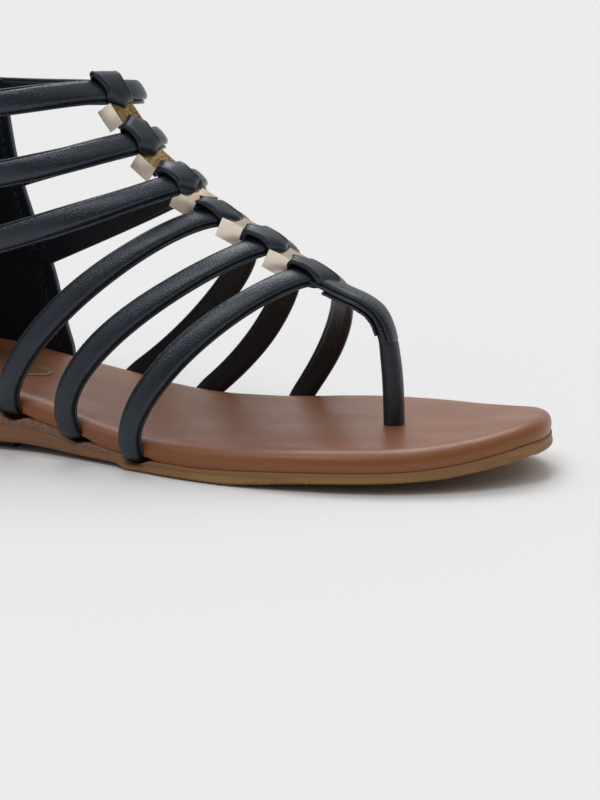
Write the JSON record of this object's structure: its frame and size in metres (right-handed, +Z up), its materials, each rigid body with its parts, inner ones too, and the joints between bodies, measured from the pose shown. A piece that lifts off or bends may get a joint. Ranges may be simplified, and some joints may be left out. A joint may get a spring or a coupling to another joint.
{
  "type": "gladiator sandal",
  "caption": "Flat gladiator sandal, right foot: padded cross straps on a studded centre strap, toe post, heel counter, wrapped footbed and rubber outsole.",
  "frame": {"origin": "middle of the heel lift's flat rest face, on the floor", "axes": "+X to the toe, +Y to the inner (medial) side, +Z up"},
  "size_m": [0.2507, 0.0845, 0.114],
  "materials": {
    "outsole_rubber": "ochre-tan rubber, matt, with a gritty wrapped waist",
    "heel_lift_rubber": "dark brown hard rubber, matt",
    "footbed_leather": "tan smooth leather, satin",
    "strap_leather": "navy-black fine-grained leather, satin",
    "counter_leather": "navy-black fine-grained leather, satin, with a dark lining",
    "stud_metal": "polished pale gold plating"
  },
  "bodies": {
    "root": {"outsole": "outsole_rubber", "heel_lift": "heel_lift_rubber", "footbed": "footbed_leather", "upper": "strap_leather", "heel_counter": "counter_leather", "stud_1": "stud_metal", "stud_2": "stud_metal", "stud_3": "stud_metal", "stud_4": "stud_metal", "stud_5": "stud_metal"}
  },
  "joints": []
}
